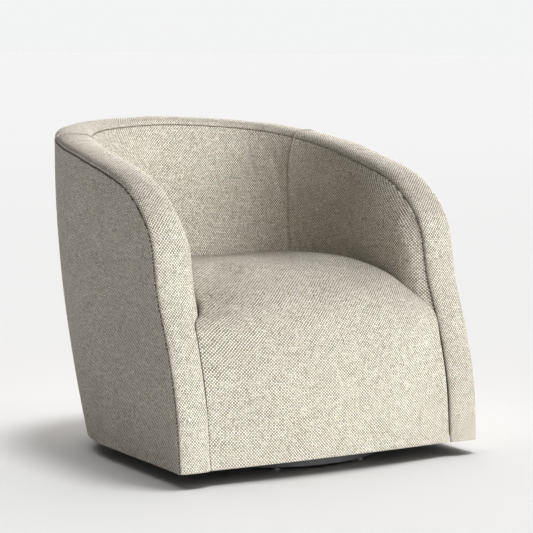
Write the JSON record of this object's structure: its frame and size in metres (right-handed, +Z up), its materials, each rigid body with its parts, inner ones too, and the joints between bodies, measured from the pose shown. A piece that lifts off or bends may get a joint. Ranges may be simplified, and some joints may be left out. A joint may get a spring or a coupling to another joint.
{
  "type": "swivel barrel chair",
  "caption": "Upholstered barrel lounge chair with a wraparound padded wall, a tight crowned seat and a hidden swivel ring base.",
  "frame": {"origin": "on the floor under the middle of the chair's width and depth", "axes": "+Y from the front of the seat to the back, +Z up, +X to the right as seen from the front"},
  "size_m": [0.76, 0.85, 0.72],
  "materials": {
    "tweed": "oatmeal basket-weave tweed",
    "base_paint": "black satin paint",
    "glide_plastic": "matt black",
    "zinc_steel": "zinc plated",
    "spring_steel": "drawn wire",
    "plywood": "raw plywood and hardwood",
    "black_felt": "non-woven black cloth",
    "padding": "pressed fibre felt"
  },
  "bodies": {
    "base": {"base_ring": "base_paint", "base_cross": "base_paint", "glide_1": "glide_plastic", "glide_2": "glide_plastic", "glide_3": "glide_plastic", "glide_4": "glide_plastic", "glide_5": "glide_plastic", "glide_6": "glide_plastic", "glide_7": "glide_plastic", "glide_8": "glide_plastic", "bearing_lower": "zinc_steel", "swivel_pin": "zinc_steel"},
    "cage": {"bearing_cage": "zinc_steel"},
    "chair": {"bearing_upper": "zinc_steel", "bearing_bolt_1": "zinc_steel", "bearing_bolt_2": "zinc_steel", "bearing_bolt_3": "zinc_steel", "bearing_bolt_4": "zinc_steel", "base_board": "plywood", "front_stretcher": "plywood", "seat_rail_front": "plywood", "seat_rail_back": "plywood", "seat_rail_right": "plywood", "seat_rail_left": "plywood", "seat_post_front_right": "plywood", "seat_post_front_left": "plywood", "seat_post_back_right": "plywood", "seat_post_back_left": "plywood", "rib_middle": "plywood", "rib_1_right": "plywood", "rib_1_left": "plywood", "rib_2_right": "plywood", "rib_2_left": "plywood", "rib_3_right": "plywood", "rib_3_left": "plywood", "rib_4_right": "plywood", "rib_4_left": "plywood", "rim_rail_back": "plywood", "rim_rail_right": "plywood", "rim_rail_left": "plywood", "dust_cover": "black_felt", "seat_spring_1": "spring_steel", "seat_spring_2": "spring_steel", "seat_spring_3": "spring_steel", "seat_spring_4": "spring_steel", "seat_spring_5": "spring_steel", "deck_pad": "padding", "seat": "tweed", "inside_back": "tweed", "inside_right": "tweed", "inside_left": "tweed", "band_back": "tweed", "band_right": "tweed", "band_left": "tweed", "outside_back": "tweed", "outside_right": "tweed", "outside_left": "tweed"}
  },
  "joints": [
    {"name": "swivel", "type": "hinge", "parent": "base", "child": "chair", "pos_m": [0, -0.086, 0], "axis": [0, 0, 1], "continuous": true},
    {"name": "cage_roll", "type": "hinge", "parent": "base", "child": "cage", "pos_m": [0, -0.086, 0], "axis": [0, 0, 1], "continuous": true}
  ],
  "couplings": [
    {"joint": "cage_roll", "follows": "swivel", "ratio": 0.5}
  ]
}
